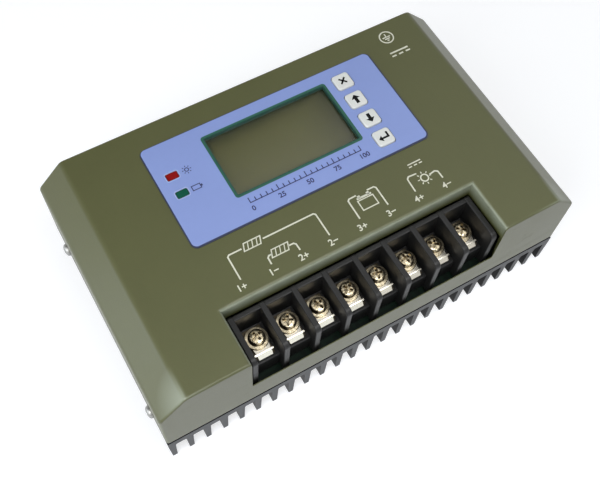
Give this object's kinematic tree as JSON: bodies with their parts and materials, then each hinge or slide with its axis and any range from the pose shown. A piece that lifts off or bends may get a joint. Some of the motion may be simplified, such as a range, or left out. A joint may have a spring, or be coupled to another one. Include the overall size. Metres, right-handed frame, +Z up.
{
  "type": "charge controller",
  "caption": "Solar charge controller: finned heat sink, folded cover with sloped ends, label with display window, keys and indicators, and a barrier terminal block.",
  "frame": {"origin": "middle of the footprint, on the plane that the fin tips stand on", "axes": "+X to the right along the long side, +Y from the terminals to the back, +Z up out of the label"},
  "size_m": [0.2048, 0.1184, 0.0653],
  "materials": {
    "olive_paint": "satin powder coat, olive",
    "black_anodised": "black anodised extrusion",
    "black_moulded": "black moulded thermoset",
    "plated_steel": "zinc or nickel plated steel",
    "plated_brass": "tin plated brass, slightly yellow",
    "label_film": "printed lavender-blue film",
    "clear_sheet": "clear acrylic sheet",
    "lcd_glass": "unlit grey-brown display",
    "key_plastic": "pale moulded key",
    "red_lens": "tinted red lens",
    "green_lens": "tinted green lens",
    "green_board": "green solder mask on glass board",
    "white_nylon": "natural nylon",
    "grey_silicone": "thermal silicone sheet",
    "grey_cable": "flat ribbon insulation",
    "blue_sleeve": "shrink sleeve"
  },
  "bodies": {
    "housing": {"heat_sink": "black_anodised", "top_cover": "olive_paint", "face_label": "label_film", "display_window": "clear_sheet", "lcd_frame": "plated_steel", "lcd_panel": "lcd_glass", "display_board": "green_board", "charge_led": "red_lens", "battery_led": "green_lens", "main_board": "green_board", "transistor_pad": "grey_silicone", "transistor_bar": "plated_steel", "bulk_capacitor": "blue_sleeve", "ribbon_cable": "grey_cable", "terminal_block": "black_moulded", "cover_screw_1": "plated_steel", "board_standoff_1": "white_nylon", "power_transistor_1": "black_moulded", "cover_screw_2": "plated_steel", "board_standoff_2": "white_nylon", "power_transistor_2": "black_moulded", "cover_screw_3": "plated_steel", "board_standoff_3": "white_nylon", "power_transistor_3": "black_moulded", "cover_screw_4": "plated_steel", "board_standoff_4": "white_nylon", "power_transistor_4": "black_moulded", "esc_switch": "black_moulded", "up_switch": "black_moulded", "down_switch": "black_moulded", "enter_switch": "black_moulded", "terminal_contact_1": "plated_brass", "terminal_contact_2": "plated_brass", "terminal_contact_3": "plated_brass", "terminal_contact_4": "plated_brass", "terminal_contact_5": "plated_brass", "terminal_contact_6": "plated_brass", "terminal_contact_7": "plated_brass", "terminal_contact_8": "plated_brass"},
    "esc_key": {"esc_key": "key_plastic"},
    "up_key": {"up_key": "key_plastic"},
    "down_key": {"down_key": "key_plastic"},
    "enter_key": {"enter_key": "key_plastic"},
    "terminal_clamp_1": {"terminal_clamp_1": "plated_steel"},
    "terminal_screw_1": {"terminal_screw_1": "plated_brass"},
    "terminal_clamp_2": {"terminal_clamp_2": "plated_steel"},
    "terminal_screw_2": {"terminal_screw_2": "plated_brass"},
    "terminal_clamp_3": {"terminal_clamp_3": "plated_steel"},
    "terminal_screw_3": {"terminal_screw_3": "plated_brass"},
    "terminal_clamp_4": {"terminal_clamp_4": "plated_steel"},
    "terminal_screw_4": {"terminal_screw_4": "plated_brass"},
    "terminal_clamp_5": {"terminal_clamp_5": "plated_steel"},
    "terminal_screw_5": {"terminal_screw_5": "plated_brass"},
    "terminal_clamp_6": {"terminal_clamp_6": "plated_steel"},
    "terminal_screw_6": {"terminal_screw_6": "plated_brass"},
    "terminal_clamp_7": {"terminal_clamp_7": "plated_steel"},
    "terminal_screw_7": {"terminal_screw_7": "plated_brass"},
    "terminal_clamp_8": {"terminal_clamp_8": "plated_steel"},
    "terminal_screw_8": {"terminal_screw_8": "plated_brass"}
  },
  "joints": [
    {"name": "esc_key_press", "type": "slide", "parent": "housing", "child": "esc_key", "axis": [0, 0, -1], "range_m": [0, 0.00045], "stiffness_N_per_m": 1500, "springref_m": -0.0005},
    {"name": "up_key_press", "type": "slide", "parent": "housing", "child": "up_key", "axis": [0, 0, -1], "range_m": [0, 0.00045], "stiffness_N_per_m": 1500, "springref_m": -0.0005},
    {"name": "down_key_press", "type": "slide", "parent": "housing", "child": "down_key", "axis": [0, 0, -1], "range_m": [0, 0.00045], "stiffness_N_per_m": 1500, "springref_m": -0.0005},
    {"name": "enter_key_press", "type": "slide", "parent": "housing", "child": "enter_key", "axis": [0, 0, -1], "range_m": [0, 0.00045], "stiffness_N_per_m": 1500, "springref_m": -0.0005},
    {"name": "terminal_clamp_1_lift", "type": "slide", "parent": "housing", "child": "terminal_clamp_1", "axis": [0, 0, 1], "range_m": [0, 0.0042]},
    {"name": "terminal_screw_1_turn", "type": "hinge", "parent": "terminal_clamp_1", "child": "terminal_screw_1", "pos_m": [-0.0504, -0.045, 0.0463], "axis": [0, 0, 1], "range_deg": [0, 2165]},
    {"name": "terminal_clamp_2_lift", "type": "slide", "parent": "housing", "child": "terminal_clamp_2", "axis": [0, 0, 1], "range_m": [0, 0.0042]},
    {"name": "terminal_screw_2_turn", "type": "hinge", "parent": "terminal_clamp_2", "child": "terminal_screw_2", "pos_m": [-0.036, -0.045, 0.0463], "axis": [0, 0, 1], "range_deg": [0, 2165]},
    {"name": "terminal_clamp_3_lift", "type": "slide", "parent": "housing", "child": "terminal_clamp_3", "axis": [0, 0, 1], "range_m": [0, 0.0042]},
    {"name": "terminal_screw_3_turn", "type": "hinge", "parent": "terminal_clamp_3", "child": "terminal_screw_3", "pos_m": [-0.0216, -0.045, 0.0463], "axis": [0, 0, 1], "range_deg": [0, 2165]},
    {"name": "terminal_clamp_4_lift", "type": "slide", "parent": "housing", "child": "terminal_clamp_4", "axis": [0, 0, 1], "range_m": [0, 0.0042]},
    {"name": "terminal_screw_4_turn", "type": "hinge", "parent": "terminal_clamp_4", "child": "terminal_screw_4", "pos_m": [-0.0072, -0.045, 0.0463], "axis": [0, 0, 1], "range_deg": [0, 2165]},
    {"name": "terminal_clamp_5_lift", "type": "slide", "parent": "housing", "child": "terminal_clamp_5", "axis": [0, 0, 1], "range_m": [0, 0.0042]},
    {"name": "terminal_screw_5_turn", "type": "hinge", "parent": "terminal_clamp_5", "child": "terminal_screw_5", "pos_m": [0.0072, -0.045, 0.0463], "axis": [0, 0, 1], "range_deg": [0, 2165]},
    {"name": "terminal_clamp_6_lift", "type": "slide", "parent": "housing", "child": "terminal_clamp_6", "axis": [0, 0, 1], "range_m": [0, 0.0042]},
    {"name": "terminal_screw_6_turn", "type": "hinge", "parent": "terminal_clamp_6", "child": "terminal_screw_6", "pos_m": [0.0216, -0.045, 0.0463], "axis": [0, 0, 1], "range_deg": [0, 2165]},
    {"name": "terminal_clamp_7_lift", "type": "slide", "parent": "housing", "child": "terminal_clamp_7", "axis": [0, 0, 1], "range_m": [0, 0.0042]},
    {"name": "terminal_screw_7_turn", "type": "hinge", "parent": "terminal_clamp_7", "child": "terminal_screw_7", "pos_m": [0.036, -0.045, 0.0463], "axis": [0, 0, 1], "range_deg": [0, 2165]},
    {"name": "terminal_clamp_8_lift", "type": "slide", "parent": "housing", "child": "terminal_clamp_8", "axis": [0, 0, 1], "range_m": [0, 0.0042]},
    {"name": "terminal_screw_8_turn", "type": "hinge", "parent": "terminal_clamp_8", "child": "terminal_screw_8", "pos_m": [0.0504, -0.045, 0.0463], "axis": [0, 0, 1], "range_deg": [0, 2165]}
  ],
  "couplings": [
    {"joint": "terminal_screw_1_turn", "follows": "terminal_clamp_1_lift", "rad_per_m": 8976},
    {"joint": "terminal_screw_2_turn", "follows": "terminal_clamp_2_lift", "rad_per_m": 8976},
    {"joint": "terminal_screw_3_turn", "follows": "terminal_clamp_3_lift", "rad_per_m": 8976},
    {"joint": "terminal_screw_4_turn", "follows": "terminal_clamp_4_lift", "rad_per_m": 8976},
    {"joint": "terminal_screw_5_turn", "follows": "terminal_clamp_5_lift", "rad_per_m": 8976},
    {"joint": "terminal_screw_6_turn", "follows": "terminal_clamp_6_lift", "rad_per_m": 8976},
    {"joint": "terminal_screw_7_turn", "follows": "terminal_clamp_7_lift", "rad_per_m": 8976},
    {"joint": "terminal_screw_8_turn", "follows": "terminal_clamp_8_lift", "rad_per_m": 8976}
  ]
}
